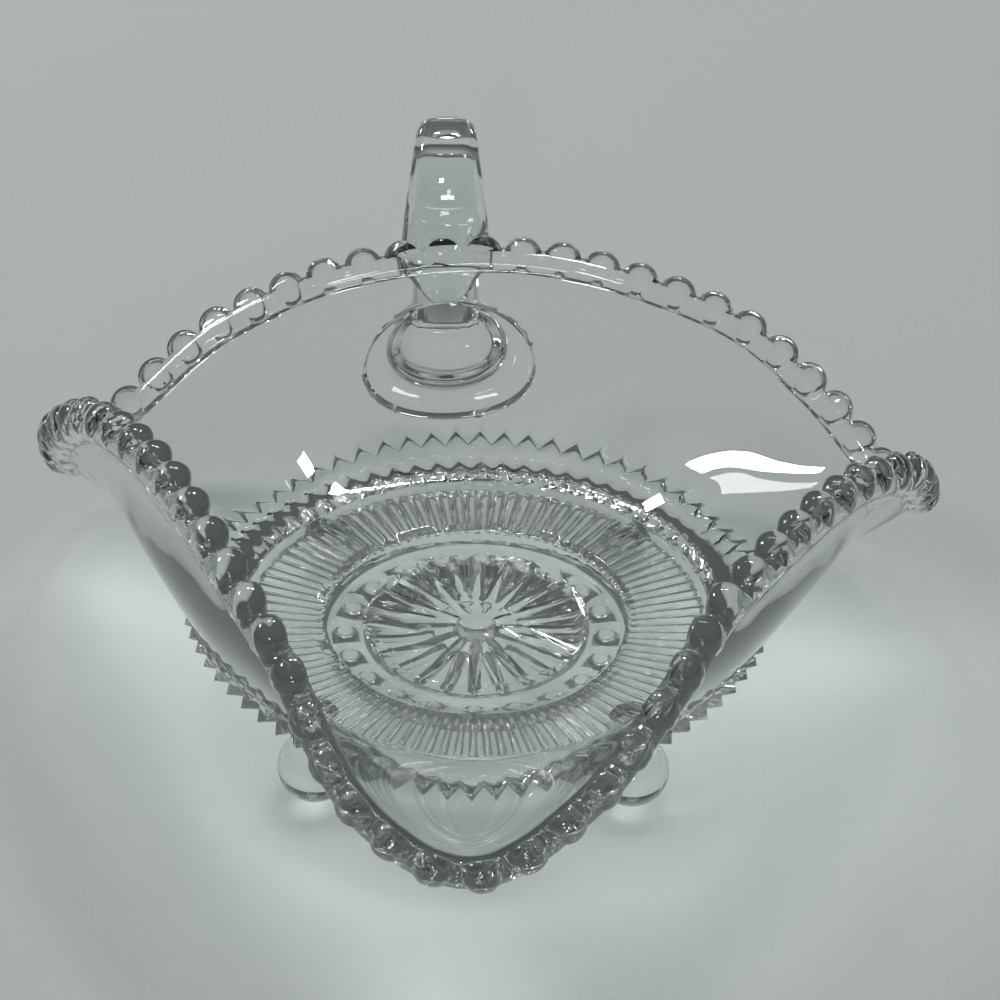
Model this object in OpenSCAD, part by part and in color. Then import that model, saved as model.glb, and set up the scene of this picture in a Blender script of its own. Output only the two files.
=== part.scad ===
// Footed dish of clear pressed glass.
// The base is round. The rim was folded while hot into a high back, two low ears,
// two tall sides and a low front lip, with a loop handle standing behind the back.
// A turn is an angle round the dish, 0 at the back and growing towards the right of someone at the front.

/* [Rim] */
// Distance from the middle to the beads of the front lip
rim_reach = 79.4; // [76:0.1:83]
// Height of the beads on the taller folded side
rim_height = 58; // [54:0.5:62]
// How far the rim is folded, where 0 would leave it round
fold_share = 1; // [0.9:0.02:1.06]
// Number of beads along the rim
bead_count = 72; // [60:1:72]
// Size across one bead
bead_size = 6.6; // [5.6:0.1:6.7]
// Distance the wall's edge runs on past the middle of the beads
edge_past_beads = 1.2; // [0.8:0.1:1.6]

/* [Wall] */
// Radius of the wall where it leaves the floor, halfway through the glass
root_radius = 37.8; // [37:0.1:38.6]
// Thickness of the wall where it leaves the floor
root_thickness = 4; // [3.6:0.1:4.6]
// Thickness of the wall at the rim
rim_thickness = 3.2; // [2.6:0.1:3.6]
// Number of points in the sawtooth band
tooth_count = 72; // [60:1:80]
// How far the points of the sawtooth band stand out from the wall
tooth_relief = 1.8; // [1.2:0.1:2.2]

/* [Floor] */
// Height of the middle of the inside floor above the table
floor_height = 16; // [15:0.2:18]
// How far the floor rises from its middle to the wall
floor_rise = 2; // [1.4:0.1:2.6]
// Thickness of the floor, less what it rises
floor_thickness = 2.4; // [2.2:0.1:3]
// Number of ribs under the floor
rib_count = 96; // [72:1:96]
// Radius where the ribs end
rib_reach = 36.4; // [35:0.2:37]
// Radius of the plain ring between the ribs and the star
ring_radius = 24.6; // [23:0.2:26]
// Width of the plain ring
ring_width = 7.2; // [6.4:0.2:8]
// Number of round hobs on the plain ring
hob_count = 20; // [12:1:22]
// Number of rays in the star
ray_count = 24; // [16:2:28]

/* [Feet] */
// Size across one ball foot
foot_size = 11.6; // [10.4:0.2:12.4]
// Distance from the middle to each foot
foot_reach = 34.7; // [32:0.1:35.5]

/* [Handle] */
// Turn of the handle from the middle of the back
handle_turn = -5.2; // [-6:0.2:6]
// How far the loop is turned on its root, out of line with the middle of the dish
loop_twist = 4.6; // [-6:0.2:6]
// How far the loop stands out behind the rim
loop_reach = 22; // [20:0.5:26]
// How far the loop rises above the rim
loop_rise = 16; // [14:0.5:20]
// Width of the strap at the top of the loop
strap_width = 10; // [8.5:0.5:12]
// Thickness of the strap
strap_thickness = 6; // [5:0.2:6.6]
// Width of the flared lower root
pad_width = 28.6; // [24:0.2:32]

/* [Hidden] */
$fn = 64;

// The folded rim is set at even turns: its reach as shares of rim_reach and its height as shares of rim_height.
reach_shares = [
    0.885, 0.90, 0.925, 0.955, 0.97, 0.965, 0.945, 0.855, 0.755, 0.705,
    0.685, 0.695, 0.735, 0.83, 0.915, 0.968, 0.925, 0.80, 0.71, 0.66,
    0.64, 0.65, 0.69, 0.77, 0.895, 0.99, 1.045, 1.01, 0.93, 0.89
];
height_shares = [
    0.72, 0.70, 0.645, 0.575, 0.455, 0.36, 0.44, 0.70, 0.83, 0.89,
    0.91, 0.91, 0.88, 0.79, 0.605, 0.49, 0.61, 0.85, 0.925, 0.975,
    0.995, 0.985, 0.94, 0.845, 0.62, 0.34, 0.305, 0.49, 0.64, 0.705
];

// The wall leans up from its root by root_lean plus a share of the line to the rim, and curls up near the rim.
root_lean = 12;
root_lean_share = 0.62;
rim_curl = 18;
rim_curl_share = 0.38;
root_pull_share = 0.28;
rim_pull_share = 0.3;
root_height = floor_height + floor_rise - root_thickness / 2;
floor_under = floor_height - floor_thickness;

// The mesh of the wall
wall_columns = 144;
wall_rows = 10;
wall_steps = 32;
edge_angles = [-45, 0, 45];

// The beads end inside the glass of the wall, so that the inside of the rim is smooth
bead_sunk = 0.4;
bead_slope = 1;

// The sawtooth band, as distances along the wall from its root: each point is a four-sided pyramid
band_foot = 1;
band_base = 5.6;
valley_foot = 6.9;
valley = 7.7;
crown = 8;
tip = 10.2;
band_sunk = 0.4;
band_lift_share = 0.3;
edge_lift_share = 0.12;

// The floor's section and the ribs under it
star_radius = ring_radius - ring_width;
floor_radius = root_radius + 0.6;
floor_round = 1.2;
round_step = 22.5;
rise_bend = 1.3;
floor_steps = 4;
flute_share = 0.44;
flute_start = 0.4;

// The plain ring stands well below the ribs and the star
ring_drop = 4.2;
ring_round = 1;
hob_size = 3.8;
hob_place = (ring_radius + star_radius) / 2;
star_thickness = 3.9;
star_plain_radius = 3.4;
ray_depth = 1.5;

// The feet are ground flat where they stand
foot_ground = 0.25;
foot_turn = 45;
neck_size = 7.2;
neck_sunk = 0.4;

// The handle's parts on the wall, as shares of the way up it
pad_low_share = 0.325;
pad_drop = 7.9;
pad_lift_share = 0.85;
tongue_length = 8.6;
root_sunk = 0.6;
loop_sunk_share = 0.12;
strap_steps = 9;
strap_sides = 20;
strap_round = 2.6;
pad_sides = 40;
tongue_rows = 8;
strap_width_shares = [1.62, 1.42, 1.2, 1.04, 1, 1, 1.02, 1.05, 1.15, 1.35];
strap_thickness_shares = [0.7, 0.85, 0.98, 1.02, 1, 1, 1, 1.02, 1.15, 1.35];

// The flared lower root: each ring is a share of the pad's size and stands a share of the strap's thickness out
pad_ring_shares = [
    [0.95, -0.1], [1, 0.1], [1, 0.24], [0.975, 0.34], [0.93, 0.39], [0.8, 0.42], [0.7, 0.5], [0.62, 0.68], [0.56, 0.95], [0.5, 1.3]
];

glass = [0.80, 0.86, 0.85, 0.45];

// A smooth value at any turn, through a list of shares at even turns
function round_share(shares, turn) =
    let (
        count = len(shares),
        along = (turn / 360 - floor(turn / 360)) * count,
        place = floor(along),
        part = along - place,
        before = shares[(place - 1 + count) % count],
        first = shares[place % count],
        second = shares[(place + 1) % count],
        after = shares[(place + 2) % count]
    )
    (2 * first + (second - before) * part
        + (2 * before - 5 * first + 4 * second - after) * part ^ 2
        + (3 * first - before - 3 * second + after) * part ^ 3) / 2;

function average(values) = [for (value = values) 1] * values / len(values);

function folded(shares, turn) =
    average(shares) + fold_share * (round_share(shares, turn) - average(shares));

// The rim's radius and height at a turn
function rim_spot(turn) = [
    rim_reach * folded(reach_shares, turn),
    rim_height * folded(height_shares, turn)
];

function lean_of(line) = atan2(line.y, line.x);
function leaning(angle) = [cos(angle), sin(angle)];
function curve_spot(hold, t) =
    (1 - t) ^ 3 * hold[0] + 3 * t * (1 - t) ^ 2 * hold[1] + 3 * t ^ 2 * (1 - t) * hold[2] + t ^ 3 * hold[3];
function curve_run(hold, t) =
    (1 - t) ^ 2 * (hold[1] - hold[0]) + 2 * t * (1 - t) * (hold[2] - hold[1]) + t ^ 2 * (hold[3] - hold[2]);

// The four points that hold the wall's middle line at a turn
function wall_hold(turn) =
    let (
        root = [root_radius, root_height],
        rim = rim_spot(turn),
        span = norm(rim - root),
        lean = lean_of(rim - root),
        leave = root_lean + root_lean_share * lean,
        arrive = lean + rim_curl + rim_curl_share * lean
    )
    [root, root + root_pull_share * span * leaning(leave), rim - rim_pull_share * span * leaning(arrive), rim];

// A spot on the wall's section at a turn: a share of the way up, then a distance past it along the wall and out from it
function wall_side(turn, share, past, out) =
    let (
        hold = wall_hold(turn),
        run = curve_run(hold, share) / norm(curve_run(hold, share))
    )
    curve_spot(hold, share) + past * run + out * [run.y, -run.x];

function wall_spot(turn, share, past, out) =
    let (side = wall_side(turn, share, past, out))
    [side.x * sin(turn), side.x * cos(turn), side.y];

// The length along the wall from its root, at even shares of the way up
function wall_lengths(turn) =
    let (hold = wall_hold(turn))
    [
        for (step = 0, length = 0; step <= wall_steps;
            length = length + norm(curve_spot(hold, (step + 1) / wall_steps) - curve_spot(hold, step / wall_steps)),
            step = step + 1)
            [length, step / wall_steps]
    ];

// The share of the way up the wall that lies at a distance along it from the root
function wall_share(turn, distance) = lookup(distance, wall_lengths(turn));

function half_wall(share) = (root_thickness + (rim_thickness - root_thickness) * share) / 2;

// The wall's section: up the inside, over the edge and down the outside, as share, past and out
function wall_section() = [
    for (row = [0:wall_rows]) [row / wall_rows, 0, -half_wall(row / wall_rows)],
    for (angle = edge_angles) [1, edge_past_beads * cos(angle), half_wall(1) * sin(angle)],
    for (row = [0:wall_rows]) [1 - row / wall_rows, 0, half_wall(1 - row / wall_rows)]
];

// A closed solid through even rows of points, joined end to end as a ring
module ring_solid(columns) {
    rows = len(columns[0]);
    count = len(columns);
    faces = [
        for (column = [0:count - 1], row = [0:rows - 1])
            let (
                here = column * rows + row,
                above = column * rows + (row + 1) % rows,
                beside = (column + 1) % count * rows + row,
                across = (column + 1) % count * rows + (row + 1) % rows
            )
            each [[here, above, across], [here, across, beside]]
    ];
    polyhedron([for (column = columns) each column], faces);
}

// A closed solid through even loops of points, each end closed to its own middle
module run_solid(loops) {
    sides = len(loops[0]);
    count = len(loops);
    first_middle = count * sides;
    last_middle = first_middle + 1;
    points = [each [for (loop = loops) each loop], average(loops[0]), average(loops[count - 1])];
    faces = [
        for (side = [0:sides - 1]) [first_middle, side, (side + 1) % sides],
        for (step = [0:count - 2], side = [0:sides - 1])
            let (
                here = step * sides + side,
                next = step * sides + (side + 1) % sides
            )
            each [[here, here + sides, next + sides], [here, next + sides, next]],
        for (side = [0:sides - 1]) [last_middle, last_middle - 2 - side, last_middle - 2 - (side + 1) % sides]
    ];
    polyhedron(points, faces);
}

// The wall from the floor to the edge past the beads
module dish_wall() {
    section = wall_section();
    color(glass)
        ring_solid([
            for (column = [0:wall_columns - 1])
                [for (spot = section) wall_spot(column * 360 / wall_columns, spot[0], spot[1], spot[2])]
        ]);
}

// The length along the rim up to each whole turn in degrees, to place the beads evenly
function rim_lengths() = [
    for (turn = 0, length = 0; turn <= 360;
        length = length + norm(wall_spot(turn + 1, 1, 0, 0) - wall_spot(turn, 1, 0, 0)), turn = turn + 1)
        [length, turn]
];

// The direction that faces straight out from the rim at a turn
function rim_outward(turn) =
    let (
        along = wall_spot(turn + bead_slope, 1, 0, 0) - wall_spot(turn - bead_slope, 1, 0, 0),
        upward = wall_spot(turn, 1, bead_slope, 0) - wall_spot(turn, 1, 0, 0)
    )
    cross(upward, along) / norm(cross(upward, along));

// The row of ball beads along the outer side of the rim, each cut off where the wall's inside is
module rim_beads() {
    lengths = rim_lengths();
    step = lengths[360][0] / bead_count;
    color(glass)
        for (bead = [0:bead_count - 1])
            let (
                turn = lookup(bead * step, lengths),
                outward = rim_outward(turn),
                place = wall_spot(turn, 1, 0, 0),
                depth = (place - wall_spot(turn, 1, 0, bead_sunk - half_wall(1))) * outward
            )
            translate(place)
                rotate([0, acos(outward.z), atan2(outward.y, outward.x)])
                    difference() {
                        sphere(d = bead_size);
                        translate([-bead_size, -bead_size, -depth - bead_size])
                            cube([2 * bead_size, 2 * bead_size, bead_size]);
                    }
}

// The raised band at the wall's foot, with a row of pyramids along its upper edge
module sawtooth_band() {
    color(glass)
        ring_solid([
            for (column = [0:2 * tooth_count - 1])
                let (
                    turn = column * 180 / tooth_count,
                    point = column % 2 == 0,
                    foot_share = wall_share(turn, band_foot),
                    base_share = wall_share(turn, band_base),
                    high_share = wall_share(turn, point ? crown : valley_foot),
                    crest_share = wall_share(turn, point ? tip : valley),
                    high_lift = point ? tooth_relief : band_lift_share * tooth_relief
                )
                [
                    wall_spot(turn, foot_share, 0, half_wall(foot_share) - band_sunk),
                    wall_spot(turn, crest_share, 0, half_wall(crest_share) - band_sunk),
                    wall_spot(turn, crest_share, 0, half_wall(crest_share) + edge_lift_share * tooth_relief),
                    wall_spot(turn, high_share, 0, half_wall(high_share) + high_lift),
                    wall_spot(turn, base_share, 0, half_wall(base_share) + band_lift_share * tooth_relief),
                    wall_spot(turn, foot_share, 0, half_wall(foot_share) + edge_lift_share * tooth_relief)
                ]
        ]);
}

// The height of the inside floor at a radius: flat over the star, then rising gently to the wall
function floor_top(radius) =
    floor_height + floor_rise * (max(0, radius - star_radius) / (root_radius - star_radius)) ^ rise_bend;
function floor_line(inner, outer) = [
    for (step = [0:floor_steps])
        let (radius = inner + (outer - inner) * step / floor_steps)
        [radius, floor_top(radius)]
];

// The outer floor, with half-round flutes cut under it that leave the ribs
module ribbed_floor() {
    rib_pitch = 2 * PI / rib_count;
    flute_inner = ring_radius + flute_start;
    round_radius = floor_radius - floor_round;
    color(glass)
        difference() {
            rotate_extrude()
                polygon(concat(
                    floor_line(ring_radius, floor_radius),
                    [for (angle = [0:round_step:90])
                        [round_radius + floor_round * cos(angle), floor_under + floor_round * (1 - sin(angle))]],
                    [[ring_radius, floor_under]]
                ));
            for (rib = [0:rib_count - 1])
                rotate([0, 0, (rib + 0.5) * 360 / rib_count])
                    translate([0, flute_inner, floor_under])
                        rotate([-90, 0, 0])
                            cylinder(h = rib_reach - flute_inner, r1 = flute_share * rib_pitch * flute_inner,
                                r2 = flute_share * rib_pitch * rib_reach);
        }
}

// The plain ring between the ribs and the star, with round hobs under it
module hob_ring() {
    ring_under = floor_under - ring_drop;
    color(glass)
        union() {
            rotate_extrude()
                union() {
                    polygon(concat(floor_line(star_radius, ring_radius),
                        [[ring_radius, ring_under + ring_round], [star_radius, ring_under + ring_round]]));
                    translate([star_radius + ring_round, ring_under])
                        square([ring_width - 2 * ring_round, ring_round]);
                    for (place = [star_radius + ring_round, ring_radius - ring_round])
                        translate([place, ring_under + ring_round])
                            circle(r = ring_round);
                }
            for (hob = [0:hob_count - 1])
                rotate([0, 0, hob * 360 / hob_count])
                    translate([0, hob_place, ring_under + hob_size / 10])
                        sphere(d = hob_size);
        }
}

// The middle of the floor, with long and short rays cut under it by turns
module star_medallion() {
    star_under = floor_height - star_thickness;
    ray_run = star_radius - star_plain_radius;
    color(glass)
        difference() {
            translate([0, 0, star_under])
                cylinder(h = star_thickness, r = star_radius);
            for (ray = [0:ray_count - 1])
                rotate([0, 0, ray * 360 / ray_count])
                    translate([0, star_plain_radius + (ray % 2) * ray_run / 4, star_under])
                        rotate([atan2(ray_depth / 2, ray_run), 0, 0])
                            rotate([0, 45, 0])
                                translate([-ray_depth / 2, 0, -ray_depth / 2])
                                    cube([ray_depth, 2 * ray_run, ray_depth]);
        }
}

// One ball foot, ground flat below and joined to the floor by a short neck
module foot(turn) {
    ball_height = foot_size / 2 - foot_ground;
    neck_top = floor_under + neck_sunk;
    color(glass)
        rotate([0, 0, -turn])
            translate([0, foot_reach, 0])
                difference() {
                    union() {
                        translate([0, 0, ball_height])
                            sphere(d = foot_size);
                        translate([0, 0, ball_height])
                            cylinder(h = neck_top - ball_height, d = neck_size);
                    }
                    translate([-foot_size, -foot_size, -foot_size])
                        cube([2 * foot_size, 2 * foot_size, foot_size]);
                }
}

module foot_front_left() {
    foot(180 + foot_turn);
}

module foot_front_right() {
    foot(180 - foot_turn);
}

module foot_back_left() {
    foot(-foot_turn);
}

module foot_back_right() {
    foot(foot_turn);
}

// The pad's middle and half its height, as shares of the way up the wall
function pad_span() =
    let (
        lengths = wall_lengths(handle_turn),
        top_share = lookup(lengths[wall_steps][0] - pad_drop, lengths)
    )
    [(top_share + pad_low_share) / 2, (top_share - pad_low_share) / 2];

// The middle line of the loop, as distance from the dish's middle and height
function loop_holds() =
    let (
        rim = rim_spot(handle_turn),
        low_share = pad_span()[0] + pad_lift_share * pad_span()[1] / 2,
        low = wall_side(handle_turn, low_share, 0, half_wall(low_share) + loop_sunk_share * strap_thickness),
        start = wall_side(handle_turn, 1, -0.44 * strap_thickness, half_wall(1) + 0.36 * strap_thickness),
        top = rim + [0.52 * loop_reach, loop_rise],
        back = rim + [loop_reach, 0.05 * loop_rise]
    )
    [
        [start, start + [0, 0.55 * loop_rise], [start.x + 0.1 * loop_reach, top.y], top],
        [top, [top.x + 0.3 * loop_reach, top.y], [back.x, back.y + 0.5 * loop_rise], back],
        [back, [back.x, back.y - 0.65 * loop_rise], low + [0.7 * loop_reach, -0.25 * loop_rise], low]
    ];

// The reach of a rounded oblong at an angle round it
function rounding(angle) =
    (abs(cos(angle)) ^ strap_round + abs(sin(angle)) ^ strap_round) ^ (-1 / strap_round);

// A loop round the strap: a rounded oblong, wide across the handle and thin along its plane
function strap_loop(spot, run, width, thickness) = [
    for (side = [0:strap_sides - 1])
        let (
            angle = -side * 360 / strap_sides,
            round = rounding(angle),
            across = width / 2 * cos(angle) * round,
            lift = thickness / 2 * sin(angle) * round
        )
        [across, spot.x - lift * run.y, spot.y + lift * run.x]
];

function share_along(shares, t) =
    lookup(t * (len(shares) - 1), [for (place = [0:len(shares) - 1]) [place, shares[place]]]);

// The strap of the loop handle, from the rim over the top and down to the flared root
module handle_loop() {
    holds = loop_holds();
    last = len(holds) * strap_steps;
    root_place = rim_spot(handle_turn).x;
    color(glass)
        rotate([0, 0, -handle_turn])
            translate([0, root_place, 0])
                rotate([0, 0, -loop_twist])
                    translate([0, -root_place, 0])
                        run_solid([
                            for (step = [0:last])
                                let (
                                    piece = min(floor(step / strap_steps), len(holds) - 1),
                                    t = step / strap_steps - piece,
                                    spot = curve_spot(holds[piece], t),
                                    run = curve_run(holds[piece], t) / norm(curve_run(holds[piece], t))
                                )
                                strap_loop(spot, run, strap_width * share_along(strap_width_shares, step / last),
                                    strap_thickness * share_along(strap_thickness_shares, step / last))
                        ]);
}

// The flared lower root of the loop, which lies on the outside of the wall
module handle_pad() {
    span = pad_span();
    color(glass)
        run_solid([
            for (ring = pad_ring_shares)
                [for (side = [0:pad_sides - 1])
                    let (
                        angle = -side * 360 / pad_sides,
                        share = span[0] + span[1] * (ring[0] * sin(angle) + pad_lift_share * (1 - ring[0])),
                        radius = curve_spot(wall_hold(handle_turn), share).x,
                        across = pad_width / 2 * ring[0] * cos(angle)
                    )
                    wall_spot(handle_turn + across / radius * 180 / PI, share, 0,
                        half_wall(share) + ring[1] * strap_thickness)]
        ]);
}

// The tapered upper root, which runs down the outside of the wall from the rim
module handle_tongue() {
    lengths = wall_lengths(handle_turn);
    tip_share = lookup(lengths[wall_steps][0] - tongue_length, lengths);
    color(glass)
        run_solid([
            for (row = [0:tongue_rows])
                let (
                    t = row / tongue_rows,
                    share = tip_share + (1 - tip_share) * t,
                    width = 1.6 * strap_width * (0.2 + 0.8 * t ^ 0.7),
                    thick = strap_thickness * (0.15 + 0.55 * t ^ 1.5)
                )
                [for (side = [0:strap_sides - 1])
                    let (
                        angle = side * 360 / strap_sides,
                        round = rounding(angle),
                        across = width / 2 * cos(angle) * round,
                        out = half_wall(share) - root_sunk + (thick + root_sunk) * (1 + sin(angle) * round) / 2
                    )
                    wall_spot(handle_turn + across / rim_spot(handle_turn).x * 180 / PI, share, 0, out)]
        ]);
}

dish_wall();
rim_beads();
sawtooth_band();
ribbed_floor();
hob_ring();
star_medallion();
foot_front_left();
foot_front_right();
foot_back_left();
foot_back_right();
handle_loop();
handle_pad();
handle_tongue();
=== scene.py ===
"""Looks of the footed dish: one casting of clear pressed glass on a plain pale table."""

import math

import bpy
import numpy as np
from mathutils import Matrix, Vector


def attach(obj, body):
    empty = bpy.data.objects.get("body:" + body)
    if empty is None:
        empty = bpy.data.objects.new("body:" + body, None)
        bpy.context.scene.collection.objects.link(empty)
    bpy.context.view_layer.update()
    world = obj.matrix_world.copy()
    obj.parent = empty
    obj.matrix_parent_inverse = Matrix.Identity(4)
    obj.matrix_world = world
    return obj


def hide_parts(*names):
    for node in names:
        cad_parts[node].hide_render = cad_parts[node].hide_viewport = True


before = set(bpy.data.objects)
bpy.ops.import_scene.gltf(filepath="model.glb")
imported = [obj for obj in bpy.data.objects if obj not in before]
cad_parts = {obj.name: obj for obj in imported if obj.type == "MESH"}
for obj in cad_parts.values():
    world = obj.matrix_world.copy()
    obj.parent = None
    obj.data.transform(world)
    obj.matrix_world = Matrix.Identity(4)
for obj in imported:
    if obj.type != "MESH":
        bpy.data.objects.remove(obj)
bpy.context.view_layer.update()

# The folded wall
# The bowl of the dish. It was pressed round, then its rim was folded while the glass was soft,
# so its two faces are fire-polished and carry slow ripples from the folding.

# Lengths are in millimetres, and this turns them into metres.
MM = 0.001


class Shade:
    """A socket of a material, so that sums on it add the nodes that work them out."""

    def __init__(self, tree, socket):
        self.tree = tree
        self.socket = socket

    def node(self, kind, settings=None, **values):
        """Adds a node, makes its settings and then fills its inputs."""
        made = self.tree.nodes.new("ShaderNode" + kind)
        for name, value in (settings or {}).items():
            setattr(made, name, value)
        for name, value in values.items():
            place = int(name[1:]) if name[1:].isdigit() else name.replace("_", " ")
            if isinstance(value, Shade):
                self.tree.links.new(value.socket, made.inputs[place])
            else:
                made.inputs[place].default_value = value
        return made

    def out(self, made, name=0):
        return Shade(self.tree, made.outputs[name])

    def sum_with(self, operation, first, second):
        return self.out(self.node("Math", {"operation": operation}, _0=first, _1=second))

    def __add__(self, other):
        return self.sum_with("ADD", self, other)

    def __radd__(self, other):
        return self.sum_with("ADD", other, self)

    def __sub__(self, other):
        return self.sum_with("SUBTRACT", self, other)

    def __rsub__(self, other):
        return self.sum_with("SUBTRACT", other, self)

    def __mul__(self, other):
        return self.sum_with("MULTIPLY", self, other)

    def __rmul__(self, other):
        return self.sum_with("MULTIPLY", other, self)

    def below(self, edge):
        return self.sum_with("LESS_THAN", self, edge)

    def above(self, edge):
        return self.sum_with("GREATER_THAN", self, edge)


GLASS_COLOUR = (0.925, 0.945, 0.94, 1)
GLASS_BEND = 1.55
RIPPLE_LAYERS = 1.0
RIPPLE_GRAIN = 0.4
CHILL_SIZE = 1.6
CHILL_LAYERS = 3.0
CHILL_GRAIN = 0.55
NOISE_MIDDLE = 0.5
GROUND_HEIGHT = 0.05
GROUND_ROUGHNESS = 0.4
# The glass lets this much of a lamp's light through to the table.
LET_THROUGH = (0.65, 0.68, 0.67, 1)
# A ray that has turned more often than this is caught in the glass. The renderer would soon stop
# it and show black, so there the glass shows a dim painted glow in place of the light it would carry.
TRAPPED_TURNS = 5
TRAPPED_LIGHT = (0.07, 0.083, 0.081, 1)


def clear_glass(name, ripple_size, ripple_depth, chill_depth, roughness, ground=False):
    """Glass with slow ripples, fine chill marks and a finish that varies a little, sizes in mm."""
    finish = bpy.data.materials.new(name)
    finish.use_nodes = True
    tree = finish.node_tree
    tree.nodes.clear()
    start = Shade(tree, None)
    places = start.out(start.node("TexCoord"), "Object")
    ripples = start.node(
        "TexNoise",
        Vector=places,
        Scale=1 / (ripple_size * MM),
        Detail=RIPPLE_LAYERS,
        Roughness=RIPPLE_GRAIN,
    )
    slow = start.out(ripples)
    chill_marks = start.node(
        "TexNoise",
        Vector=places,
        Scale=1 / (CHILL_SIZE * MM),
        Detail=CHILL_LAYERS,
        Roughness=CHILL_GRAIN,
    )
    fine = start.out(chill_marks)
    height = slow * ripple_depth + fine * chill_depth
    bump = start.node("Bump", Strength=1.0, Distance=MM, Height=height)
    rough = roughness + (fine - NOISE_MIDDLE) * roughness
    if ground:
        split = start.node("SeparateXYZ", Vector=places)
        rough = rough + start.out(split, "Z").below(GROUND_HEIGHT * MM) * GROUND_ROUGHNESS
    glass = start.node(
        "BsdfPrincipled",
        Base_Color=GLASS_COLOUR,
        Roughness=rough,
        IOR=GLASS_BEND,
        Transmission_Weight=1.0,
        Normal=start.out(bump),
    )
    rays = start.node("LightPath")
    # Painted light: a dim glow of the glass itself, shown to rays caught inside it, and no lamp.
    painted_glow = start.node("Emission", Color=TRAPPED_LIGHT, Strength=1.0)
    inside = start.node(
        "MixShader",
        _0=start.out(rays, "Ray Depth").above(TRAPPED_TURNS),
        _1=start.out(glass),
        _2=start.out(painted_glow),
    )
    lamp_side = start.node("BsdfTransparent", Color=LET_THROUGH)
    both = start.node(
        "MixShader",
        _0=start.out(rays, "Is Shadow Ray"),
        _1=start.out(inside),
        _2=start.out(lamp_side),
    )
    start.node("OutputMaterial", Surface=start.out(both))
    return finish


def only(piece):
    """Leaves this piece as the one selected."""
    bpy.ops.object.select_all(action="DESELECT")
    piece.select_set(True)
    bpy.context.view_layer.objects.active = piece


castings = {}
WELD_WITHIN = 0.002


def cast_copy(node, finish):
    """A copy of a CAD node to work on, with its loose triangles joined."""
    only(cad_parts[node])
    bpy.ops.object.duplicate()
    piece = bpy.context.view_layer.objects.active
    piece.parent = None
    piece.name = node + "_glass"
    piece.data.name = piece.name
    piece.data.materials.clear()
    piece.data.materials.append(finish)
    bpy.ops.object.mode_set(mode="EDIT")
    bpy.ops.mesh.select_all(action="SELECT")
    bpy.ops.mesh.remove_doubles(threshold=WELD_WITHIN * MM)
    bpy.ops.object.mode_set(mode="OBJECT")
    castings[finish.name] = node
    return piece


WALL_CREASE_DEGREES = 62
wall_glass = clear_glass(
    "fire-polished wall",
    ripple_size=22,
    ripple_depth=0.05,
    chill_depth=0.0,
    roughness=0.006,
)
wall = cast_copy("dish_wall", wall_glass)
bpy.ops.object.mode_set(mode="EDIT")
bpy.ops.mesh.select_all(action="SELECT")
bpy.ops.mesh.tris_convert_to_quads()
bpy.ops.mesh.select_all(action="DESELECT")
bpy.ops.mesh.select_mode(type="EDGE")
bpy.ops.mesh.edges_select_sharp(sharpness=math.radians(WALL_CREASE_DEGREES))
bpy.ops.transform.edge_crease(value=1)
bpy.ops.object.mode_set(mode="OBJECT")
smoother = wall.modifiers.new("smoother wall", "SUBSURF")
smoother.levels = 1
smoother.render_levels = 1
bpy.ops.object.modifier_apply(modifier=smoother.name)

# The rim beads
# Balls that the mould left along the outer side of the rim. They kept the mould's skin, which is
# a little less smooth than the fire-polished wall behind them. The rim itself is a soft roll that
# fills the gaps between them, so only their outer sides stand out.
bead_glass = clear_glass(
    "pressed beads",
    ripple_size=9,
    ripple_depth=0.012,
    chill_depth=0.0008,
    roughness=0.01,
)
beads = cast_copy("rim_beads", bead_glass)
EDGE_ROLL = 2.4
ROLL_OUT = 0.2
ROLL_DOWN = 1.25
ROLL_STEPS = 4
first_of = list(range(len(beads.data.vertices)))


def bead_of(spot):
    """The lowest vertex number of the bead that a vertex belongs to."""
    while first_of[spot] != spot:
        first_of[spot] = first_of[first_of[spot]]
        spot = first_of[spot]
    return spot


for edge in beads.data.edges:
    one, two = sorted(bead_of(spot) for spot in edge.vertices)
    first_of[two] = one
members = {}
for vertex in beads.data.vertices:
    members.setdefault(bead_of(vertex.index), []).append(vertex.co)
# Each bead is a ball cut off inside the wall. Its middle comes from a ball fitted to its vertices,
# and their mean lies outward from there.
balls = []
for spots in members.values():
    rows = np.array([[*spot, 1] for spot in spots])
    fit = np.linalg.lstsq(rows, (rows[:, :3] ** 2).sum(axis=1), rcond=None)[0]
    ball = Vector(fit[:3] / 2)
    balls.append((ball, (sum(spots, Vector()) / len(spots) - ball).normalized()))
balls.sort(key=lambda pair: math.atan2(pair[0].x, pair[0].y))
middles = []
for number, (ball, outward) in enumerate(balls):
    along = balls[(number + 1) % len(balls)][0] - balls[number - 1][0]
    upward = along.cross(outward).normalized()
    middles.append(ball + (ROLL_OUT * outward - ROLL_DOWN * upward) * MM)
line = bpy.data.curves.new("rolled edge", "CURVE")
line.dimensions = "3D"
line.resolution_u = ROLL_STEPS
line.bevel_depth = EDGE_ROLL * MM
line.bevel_resolution = ROLL_STEPS
spline = line.splines.new("BEZIER")
spline.bezier_points.add(len(middles) - 1)
spline.use_cyclic_u = True
for point, middle in zip(spline.bezier_points, middles):
    point.co = middle
    point.handle_left_type = "AUTO"
    point.handle_right_type = "AUTO"
roll = bpy.data.objects.new("rolled edge", line)
bpy.context.scene.collection.objects.link(roll)
only(roll)
bpy.ops.object.convert(target="MESH")
roll = bpy.context.view_layer.objects.active
roll.data.materials.clear()
roll.data.materials.append(wall.data.materials[0])
others = [roll, beads]

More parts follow.
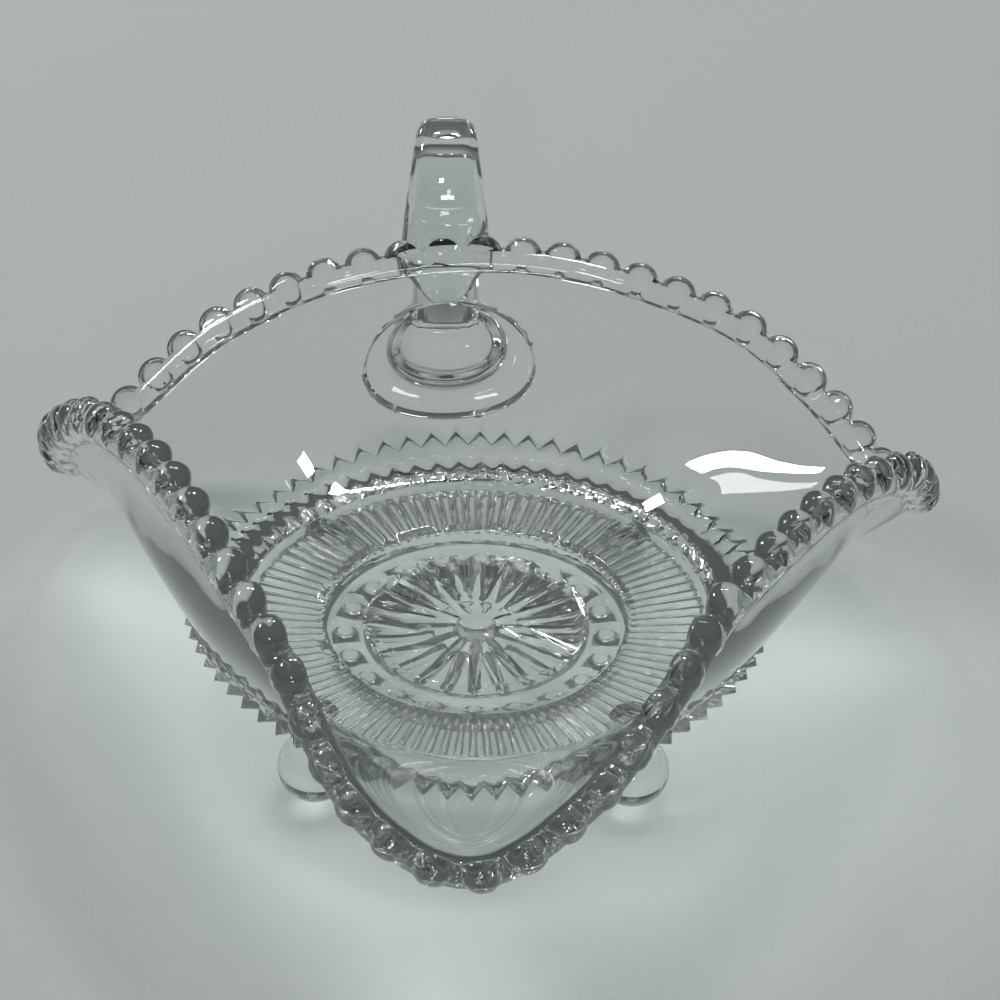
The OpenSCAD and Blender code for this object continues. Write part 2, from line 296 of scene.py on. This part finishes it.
# The sawtooth band
# A raised band round the foot of the wall whose upper edge is a row of four-sided points. It was
# cut into the mould with flat facets, so it flashes light and dark as it goes round. The points
# stand out further here than in the CAD solid, so that the facets are as steep as they look.
band_glass = clear_glass(
    "pressed band",
    ripple_size=12,
    ripple_depth=0.008,
    chill_depth=0.0006,
    roughness=0.009,
)
band = cast_copy("sawtooth_band", band_glass)
BAND_COLUMNS = 144
BAND_SUNK = 0.4
BAND_DEEPER = 1.45
NEAR_ENOUGH = 0.001
columns = {}
for vertex in band.data.vertices:
    turn = math.atan2(vertex.co.x, vertex.co.y) / (2 * math.pi)
    columns.setdefault(round(turn * BAND_COLUMNS) % BAND_COLUMNS, []).append(vertex)
# Each column of the band is a flat outline. Its longest side with no vertex behind it is the
# buried back, and what stands above the wall is stretched away from that.
for column in columns.values():
    longest = 0
    for low in column:
        for high in column:
            run = high.co - low.co
            length = run.length
            if run.z <= 0 or length <= longest:
                continue
            run.normalize()
            sideways = Vector((low.co.x, low.co.y, 0)).normalized()
            outward = (sideways - sideways.dot(run) * run).normalized()
            if min((vertex.co - low.co).dot(outward) for vertex in column) > -NEAR_ENOUGH * MM:
                longest = length
                back_foot = low.co.copy()
                back_outward = outward
    for vertex in column:
        lift = (vertex.co - back_foot).dot(back_outward) - BAND_SUNK * MM
        if lift > 0:
            vertex.co += back_outward * lift * (BAND_DEEPER - 1)
others.append(band)

# The floor
# Three patterns pressed under the floor: fine ribs, a plain ring with round hobs and a rayed star.
# The plunger left the top smooth, and all the pattern is seen through it.
# The ring and the star grow a hair, so that each cuts into its neighbour where they only touch.
RING_GROWTH = 1.001
STAR_GROWTH = 1.0022
for node, growth in (("ribbed_floor", 1), ("hob_ring", RING_GROWTH), ("star_medallion", STAR_GROWTH)):
    floor_glass = clear_glass(
        "pressed " + node.split("_")[0],
        ripple_size=12,
        ripple_depth=0.014,
        chill_depth=0.001,
        roughness=0.01,
    )
    piece = cast_copy(node, floor_glass)
    bpy.ops.object.mode_set(mode="EDIT")
    bpy.ops.transform.resize(value=(growth, growth, 1), center_override=(0, 0, 0))
    bpy.ops.object.mode_set(mode="OBJECT")
    others.append(piece)

# The feet
# Four balls of the same glass, pressed in one with the floor. Each is ground flat and matt where
# it stands, and together they hold the patterns clear of the table.
for node in ("foot_front_left", "foot_front_right", "foot_back_left", "foot_back_right"):
    foot_glass = clear_glass(
        "glass " + node,
        ripple_size=8,
        ripple_depth=0.012,
        chill_depth=0.001,
        roughness=0.01,
        ground=True,
    )
    others.append(cast_copy(node, foot_glass))

# The handle
# A gather of hot glass drawn into a strap and stuck down at the rim and on the wall behind it, so
# its surface is the smoothest on the dish and has soft waves along its length.
for node in ("handle_pad", "handle_tongue", "handle_loop"):
    drawn_glass = clear_glass(
        "drawn " + node,
        ripple_size=14,
        ripple_depth=0.035,
        chill_depth=0.0,
        roughness=0.006,
    )
    others.append(cast_copy(node, drawn_glass))

# One casting
# The glass runs on from piece to piece with no face between them. The copies are joined to clear
# away all that lies inside the glass, and are then parted again, each closed by an unseen seam.
SOFT_EDGE_DEGREES = 35
for piece in others:
    only(wall)
    join = wall.modifiers.new("join", "BOOLEAN")
    join.operation = "UNION"
    join.solver = "MANIFOLD"
    join.material_mode = "TRANSFER"
    join.object = piece
    bpy.ops.object.modifier_apply(modifier=join.name)
    bpy.data.objects.remove(piece)
only(wall)
bpy.ops.object.shade_smooth_by_angle(angle=math.radians(SOFT_EDGE_DEGREES))
bpy.ops.object.mode_set(mode="EDIT")
bpy.ops.mesh.select_all(action="SELECT")
bpy.ops.mesh.separate(type="MATERIAL")
bpy.ops.object.mode_set(mode="OBJECT")
pieces = list(bpy.context.selected_objects)

seam = bpy.data.materials.new("clear seam")
seam.use_nodes = True
seam.node_tree.nodes["Principled BSDF"].inputs["Alpha"].default_value = 0


def open_loops(mesh):
    """The runs of edges with a face on one side only, each as edge numbers."""
    uses = [0] * len(mesh.edges)
    for face in mesh.polygons:
        for corner in face.loop_indices:
            uses[mesh.loops[corner].edge_index] += 1
    at_spot = {}
    for edge in mesh.edges:
        if uses[edge.index] == 1:
            for spot in edge.vertices:
                at_spot.setdefault(spot, []).append(edge.index)
    loops = []
    seen = set()
    for first in sorted(edge for edges in at_spot.values() for edge in edges):
        if first in seen:
            continue
        seen.add(first)
        run = [first]
        for number in run:
            for spot in mesh.edges[number].vertices:
                for beside in at_spot[spot]:
                    if beside not in seen:
                        seen.add(beside)
                        run.append(beside)
        loops.append(run)
    return loops


SECTORS = 24


def goes_round(mesh, run):
    """Whether a run of edges passes all the way round the middle of the dish."""
    sides = set()
    for number in run:
        for spot in mesh.edges[number].vertices:
            place = mesh.vertices[spot].co
            sides.add(math.floor(math.atan2(place.y, place.x) / (2 * math.pi / SECTORS)))
    return len(sides) >= SECTORS


def reach_of(mesh, run):
    """The mean distance of a run of edges from the middle of the dish."""
    spots = [mesh.vertices[mesh.edges[number].vertices[0]].co for number in run]
    return sum(math.hypot(place.x, place.y) for place in spots) / len(spots)


def close_with(piece, runs, tool):
    """Closes open runs of edges with one edit, which is the tool, and gives its faces the seam."""
    mesh = piece.data
    count = len(mesh.polygons)
    bpy.ops.object.mode_set(mode="EDIT")
    bpy.ops.mesh.select_mode(type="EDGE")
    bpy.ops.mesh.select_all(action="DESELECT")
    bpy.ops.object.mode_set(mode="OBJECT")
    for run in runs:
        for number in run:
            mesh.edges[number].select = True
    bpy.ops.object.mode_set(mode="EDIT")
    bpy.ops.mesh.mark_sharp()
    tool()
    bpy.ops.object.mode_set(mode="OBJECT")
    for face in mesh.polygons[count:]:
        face.material_index = 1
        face.use_smooth = False


for piece in pieces:
    node = castings[piece.data.materials[0].name]
    piece.name = node + "_glass"
    piece.data.name = piece.name
    piece.data.materials.append(seam)
    only(piece)
    loops = open_loops(piece.data)
    rounds = [run for run in loops if goes_round(piece.data, run)]
    rounds.sort(key=lambda run: reach_of(piece.data, run))
    for first, second in zip(rounds[::2], rounds[1::2]):
        close_with(piece, (first, second), bpy.ops.mesh.bridge_edge_loops)
    holes = [run for run in loops if run not in rounds]
    if holes:
        close_with(piece, holes, lambda: bpy.ops.mesh.fill_holes(sides=0))
    for run in open_loops(piece.data):
        close_with(piece, (run,), bpy.ops.mesh.edge_face_add)
    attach(piece, "root")
    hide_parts(node)

# The table
# A plain pale surface to stand the dish on. It takes the place of the cloth in the photo, and it
# belongs to the stage and not to the part.
TABLE_WIDTH = 8000
TABLE_COLOUR = (0.42, 0.44, 0.44, 1)
TABLE_ROUGHNESS = 0.8
TABLE_GLOSS = 0.2
bpy.ops.mesh.primitive_plane_add(size=TABLE_WIDTH * MM)
table = bpy.context.view_layer.objects.active
table.name = "table"
cloth = bpy.data.materials.new("pale table")
cloth.use_nodes = True
shader = cloth.node_tree.nodes["Principled BSDF"]
shader.inputs["Base Color"].default_value = TABLE_COLOUR
shader.inputs["Roughness"].default_value = TABLE_ROUGHNESS
shader.inputs["Specular IOR Level"].default_value = TABLE_GLOSS
table.data.materials.append(cloth)

# Light
# A dull room, pale overhead and dark at the horizon, which draws the edges of the glass. Lamps
# behind and at the side give the streaks inside the back wall and the pale patches on the table,
# and two small ones in front give the handle's strap its highlights.
HORIZON_COLOUR = (0.045, 0.052, 0.052, 1)
OVERHEAD_COLOUR = (0.374, 0.396, 0.398, 1)
SKY_TOP = 0.9
world = bpy.data.worlds.new("room")
bpy.context.scene.world = world
world.use_nodes = True
back = world.node_tree.nodes["Background"]
sky = Shade(world.node_tree, None)
ways = sky.node("SeparateXYZ", Vector=sky.out(sky.node("TexCoord"), "Generated"))
rise = sky.node(
    "MapRange",
    {"interpolation_type": "SMOOTHSTEP"},
    Value=sky.out(ways, "Z"),
    From_Max=SKY_TOP,
)
tone = sky.node(
    "Mix",
    {"data_type": "RGBA"},
    _0=sky.out(rise),
    _6=HORIZON_COLOUR,
    _7=OVERHEAD_COLOUR,
)
world.node_tree.links.new(tone.outputs[2], back.inputs["Color"])


def soft_lamp(name, place, aim, width, height, power):
    """A flat soft lamp turned to its aim, with its power in watts."""
    light = bpy.data.lights.new(name, "AREA")
    light.shape = "RECTANGLE"
    light.size = width * MM
    light.size_y = height * MM
    light.energy = power
    lamp = bpy.data.objects.new(name, light)
    bpy.context.scene.collection.objects.link(lamp)
    lamp.location = Vector(place) * MM
    lamp.rotation_mode = "QUATERNION"
    lamp.rotation_quaternion = (Vector(aim) - Vector(place)).to_track_quat("-Z", "Y")


BOWL = (0, 0, 30)
RIM = (0, 0, 50)
soft_lamp("key", (190, 540, 1080), BOWL, width=200, height=100, power=4.2)
soft_lamp("second", (-200, 620, 1080), BOWL, width=150, height=70, power=2.6)
soft_lamp("side", (-900, 300, 900), BOWL, width=300, height=180, power=4)
soft_lamp("front", (-75, -880, 440), RIM, width=85, height=110, power=0.6)
soft_lamp("low front", (25, -990, 145), RIM, width=190, height=70, power=0.7)

# The camera
# It stands where the photo was taken, as fitted to the photo together with the part. Its angles
# are in radians, and its lengths in mm along its own right, up and forward directions.
CAMERA_RISE = 0.5983
CAMERA_ROLL = 0.0144
CAMERA_ASIDE = -3.9989
CAMERA_UP = -32.1131
CAMERA_BACK = 598.16
FOCAL_PIXELS = 3712.3
FRAME_PIXELS = 1000
FILM_WIDTH = 36
forward = Vector((0, math.cos(CAMERA_RISE), -math.sin(CAMERA_RISE)))
level_up = Vector((0, math.sin(CAMERA_RISE), math.cos(CAMERA_RISE)))
level_right = Vector((1, 0, 0))
right = math.cos(CAMERA_ROLL) * level_right + math.sin(CAMERA_ROLL) * level_up
up = math.cos(CAMERA_ROLL) * level_up - math.sin(CAMERA_ROLL) * level_right
place = -(CAMERA_ASIDE * right + CAMERA_UP * up + CAMERA_BACK * forward)
lens = bpy.data.cameras.new("camera")
lens.sensor_width = FILM_WIDTH
lens.lens = FILM_WIDTH * FOCAL_PIXELS / FRAME_PIXELS
camera = bpy.data.objects.new("camera", lens)
bpy.context.scene.collection.objects.link(camera)
turned = Matrix((right, up, -forward)).transposed().to_4x4()
camera.matrix_world = Matrix.Translation(place * MM) @ turned
bpy.context.scene.camera = camera
bpy.context.scene.view_settings.view_transform = "Standard"
